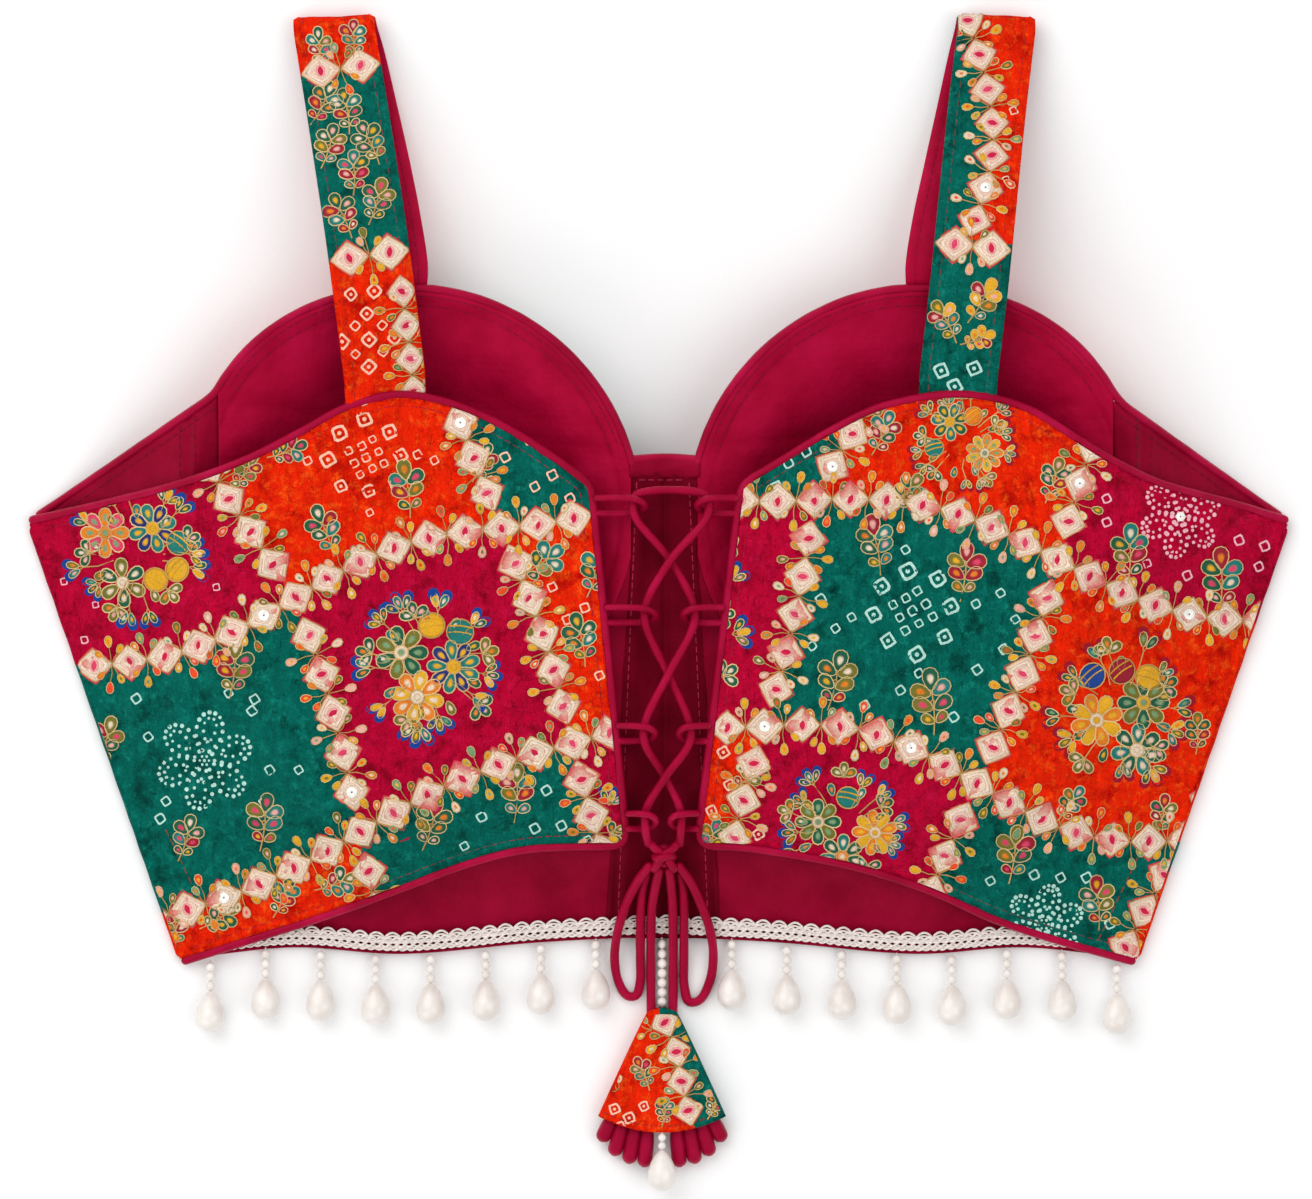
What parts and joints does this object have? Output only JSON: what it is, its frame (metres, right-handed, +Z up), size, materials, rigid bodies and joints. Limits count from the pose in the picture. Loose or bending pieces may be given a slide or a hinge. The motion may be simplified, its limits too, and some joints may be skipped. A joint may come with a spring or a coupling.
{
  "type": "choli blouse",
  "caption": "Padded patchwork blouse with wide shoulder straps and a laced back, laid face down, with lace, pearl drops and a tassel at the hem.",
  "frame": {"origin": "middle of the blouse's bounding box, at the surface that it lies on, without the free ties and their tassel", "axes": "+X across the blouse, +Y from its hem to its straps, +Z up from the surface: it lies face down, with the laced back on top"},
  "size_m": [0.4318, 0.4029, 0.0372],
  "materials": {
    "printed_cloth": "patchwork print in orange, green and magenta with gold thread",
    "lining_cloth": "plain magenta lining with a low sheen",
    "trim_cord": "magenta bias cloth over cord",
    "lace": "off-white looped braid",
    "pearl": "pearl lustre"
  },
  "bodies": {
    "root": {"back_left": "printed_cloth", "back_piping_left": "trim_cord", "cup_left": "lining_cloth", "front_lower_left": "lining_cloth", "front_side_left": "lining_cloth", "front_piping_left": "trim_cord", "strap_left": "printed_cloth", "pearl_drop_left_1": "pearl", "pearl_drop_left_2": "pearl", "pearl_drop_left_3": "pearl", "pearl_drop_left_4": "pearl", "pearl_drop_left_5": "pearl", "pearl_drop_left_6": "pearl", "pearl_drop_left_7": "pearl", "pearl_drop_left_8": "pearl", "lacing_loop_left_1": "trim_cord", "tassel_finger_left_1": "lining_cloth", "lacing_loop_left_2": "trim_cord", "tassel_finger_left_2": "lining_cloth", "lacing_loop_left_3": "trim_cord", "tassel_finger_left_3": "lining_cloth", "lacing_loop_left_4": "trim_cord", "tassel_finger_left_4": "lining_cloth", "tie_loop_left": "trim_cord", "tie_tail_left": "trim_cord", "back_right": "printed_cloth", "back_piping_right": "trim_cord", "cup_right": "lining_cloth", "front_lower_right": "lining_cloth", "front_side_right": "lining_cloth", "front_piping_right": "trim_cord", "strap_right": "printed_cloth", "pearl_drop_right_1": "pearl", "pearl_drop_right_2": "pearl", "pearl_drop_right_3": "pearl", "pearl_drop_right_4": "pearl", "pearl_drop_right_5": "pearl", "pearl_drop_right_6": "pearl", "pearl_drop_right_7": "pearl", "pearl_drop_right_8": "pearl", "lacing_loop_right_1": "trim_cord", "tassel_finger_right_1": "lining_cloth", "lacing_loop_right_2": "trim_cord", "tassel_finger_right_2": "lining_cloth", "lacing_loop_right_3": "trim_cord", "tassel_finger_right_3": "lining_cloth", "lacing_loop_right_4": "trim_cord", "tassel_finger_right_4": "lining_cloth", "tie_loop_right": "trim_cord", "tie_tail_right": "trim_cord", "front_centre": "lining_cloth", "hem_lace": "lace", "pearl_string_centre": "pearl", "lacing_cord": "trim_cord", "bow_knot": "trim_cord", "tassel_cone": "printed_cloth", "tassel_pearl": "pearl"}
  },
  "joints": []
}
